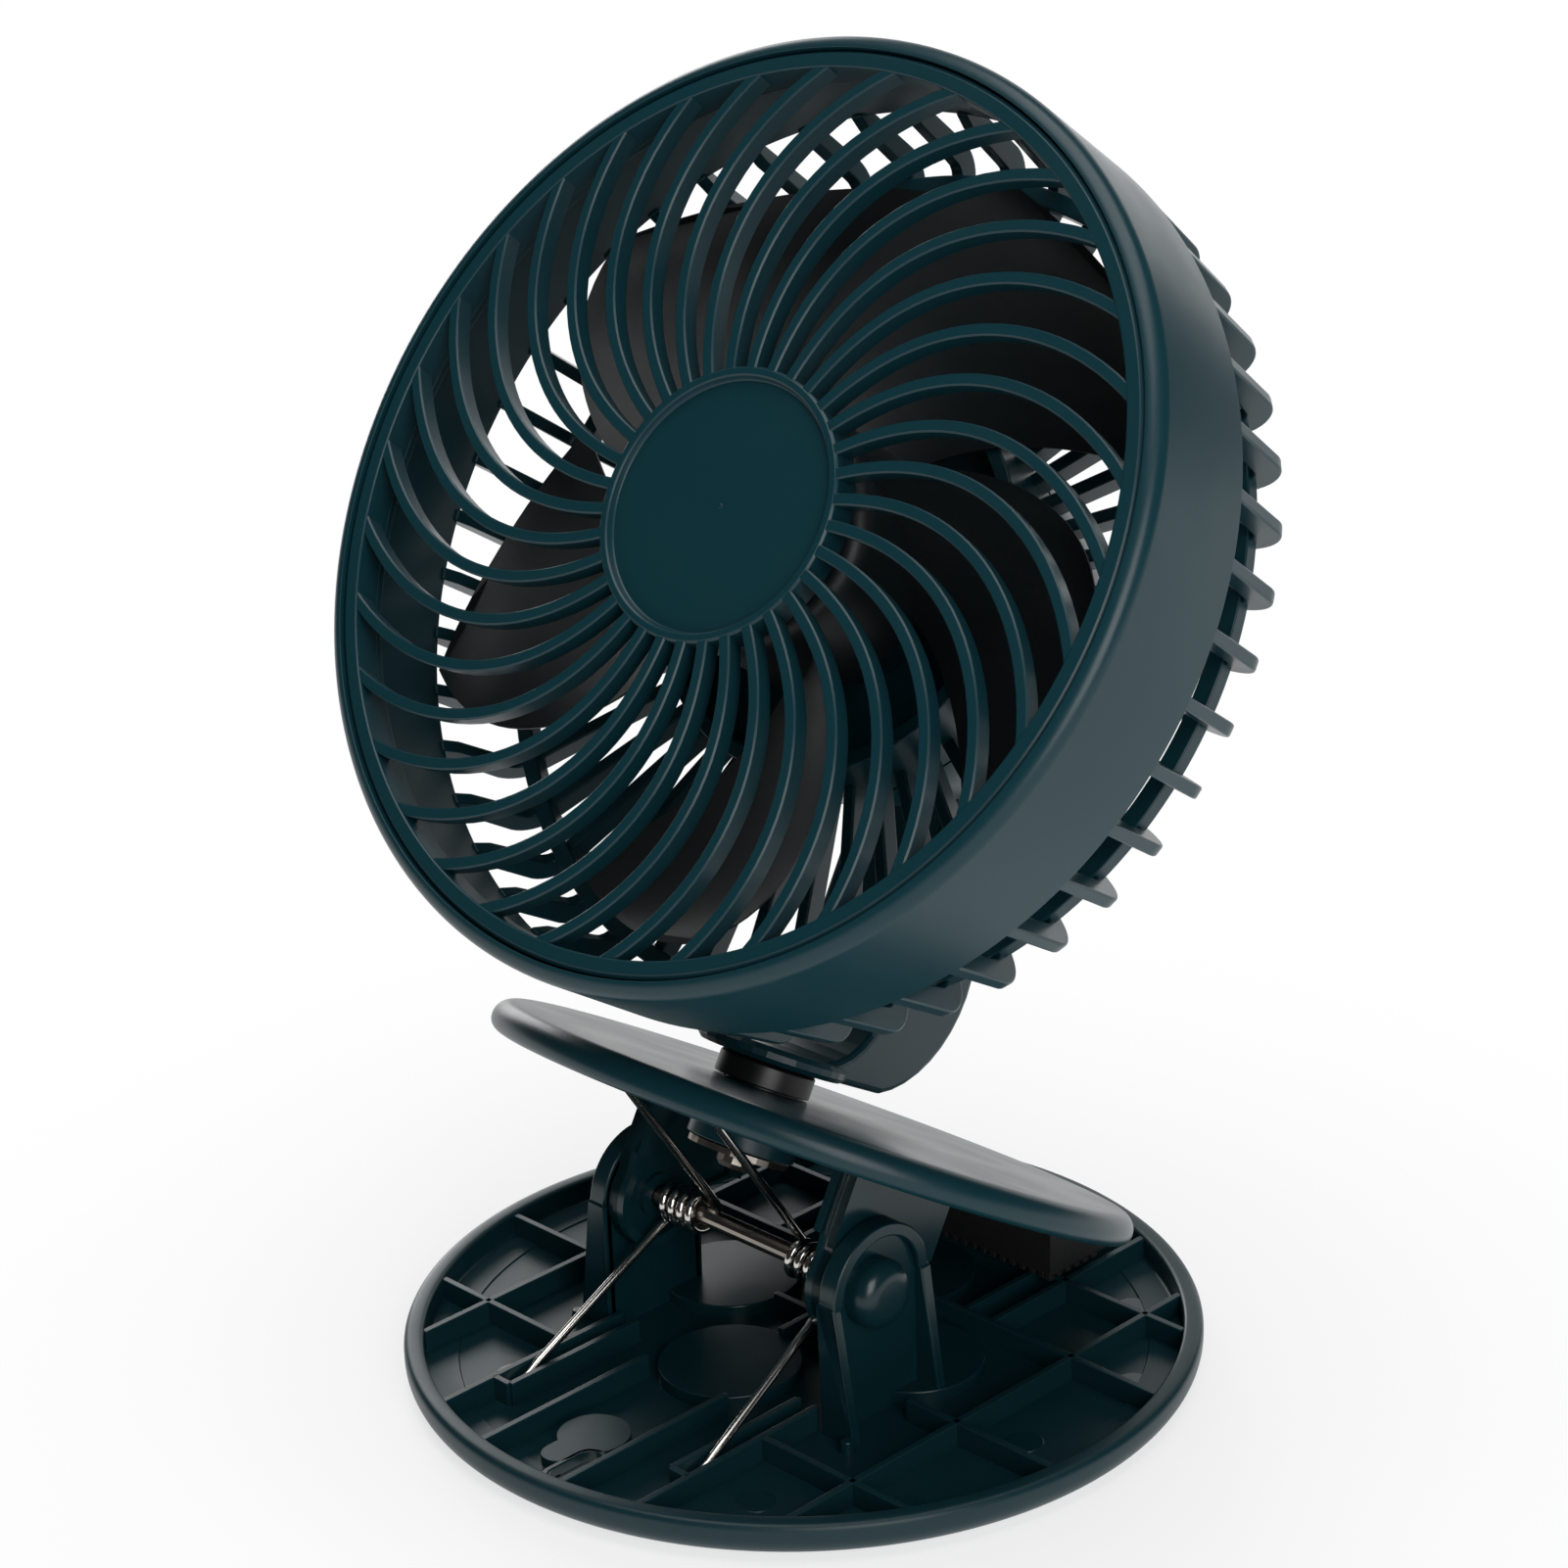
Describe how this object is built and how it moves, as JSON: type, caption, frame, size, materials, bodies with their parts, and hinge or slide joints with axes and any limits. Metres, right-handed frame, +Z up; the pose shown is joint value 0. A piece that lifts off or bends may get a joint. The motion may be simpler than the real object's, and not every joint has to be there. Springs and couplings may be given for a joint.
{
  "type": "clip fan",
  "caption": "Teal clip fan with a round tray base, sprung clip lever, swivelling elbow arm and tilting round head behind a spiral grille",
  "frame": {"origin": "centre of the base tray's underside, where it stands on a table", "axes": "+Z up and square to the base tray, -Y towards the handle end of the clip and the front of the fan, +Y towards the jaw, X along the pivot pin"},
  "size_m": [0.1512, 0.132, 0.2124],
  "materials": {
    "teal_plastic": "deep teal moulded plastic, fine satin grain outside and glossy where polished",
    "black_plastic": "near-black moulded plastic, fine grain",
    "black_rubber": "soft black rubber, matte",
    "bright_nickel": "bright nickel plated spring wire",
    "plain_steel": "plain turned steel",
    "light_pipe_plastic": "milky clear plastic",
    "board": "green lacquered board",
    "battery_sleeve": "silver grey wrapped cell"
  },
  "bodies": {
    "base": {"base_tray": "teal_plastic", "foot_pad_1": "black_rubber", "foot_pad_2": "black_rubber", "foot_pad_3": "black_rubber", "foot_pad_4": "black_rubber", "pivot_pin": "plain_steel", "torsion_spring_left": "bright_nickel", "torsion_spring_right": "bright_nickel"},
    "lever": {"clip_lever": "teal_plastic", "jaw_pad": "black_rubber"},
    "swivel": {"swivel_neck": "black_plastic", "swivel_washer": "plain_steel", "swivel_screw": "plain_steel", "arm_shell": "teal_plastic", "arm_cover": "teal_plastic", "arm_screw_1": "plain_steel", "arm_screw_2": "plain_steel", "tilt_pin": "plain_steel", "tilt_washer_left": "plain_steel", "tilt_washer_right": "plain_steel"},
    "head": {"drum_cage": "teal_plastic", "front_grille": "teal_plastic", "motor": "plain_steel", "rear_cover": "teal_plastic", "led_light_pipe": "light_pipe_plastic", "circuit_board": "board", "battery_pack": "battery_sleeve", "usb_port": "bright_nickel", "rear_cover_screw_1": "plain_steel", "rear_cover_screw_2": "plain_steel", "rear_cover_screw_3": "plain_steel", "rear_cover_screw_4": "plain_steel"},
    "impeller": {"impeller": "black_plastic", "motor_shaft": "bright_nickel"},
    "button": {"speed_button": "black_plastic"}
  },
  "joints": [
    {"name": "clip_hinge", "type": "hinge", "parent": "base", "child": "lever", "pos_m": [0, -0.0115, 0.0243], "axis": [1, 0, 0], "range_deg": [0, 36], "stiffness_Nm_per_rad": 1.2, "springref_deg": -51.57, "deforming": ["torsion_spring_left", "torsion_spring_right"]},
    {"name": "neck_swivel", "type": "hinge", "parent": "lever", "child": "swivel", "pos_m": [0, -0.00651, 0.05214], "axis": [0, 0.5, 0.866], "range_deg": [-175, 175]},
    {"name": "head_tilt", "type": "hinge", "parent": "swivel", "child": "head", "pos_m": [-0.00128, 0.04924, 0.10697], "axis": [-0.9981, -0.0529, 0.0305], "range_deg": [0, 90]},
    {"name": "impeller_spin", "type": "hinge", "parent": "head", "child": "impeller", "pos_m": [0.00351, -0.01662, 0.14942], "axis": [0.061, -0.839, 0.5408], "continuous": true},
    {"name": "button_press", "type": "slide", "parent": "head", "child": "button", "axis": [0.061, -0.839, 0.5408], "range_m": [0, 0.001], "stiffness_N_per_m": 800, "springref_m": -0.0005}
  ]
}
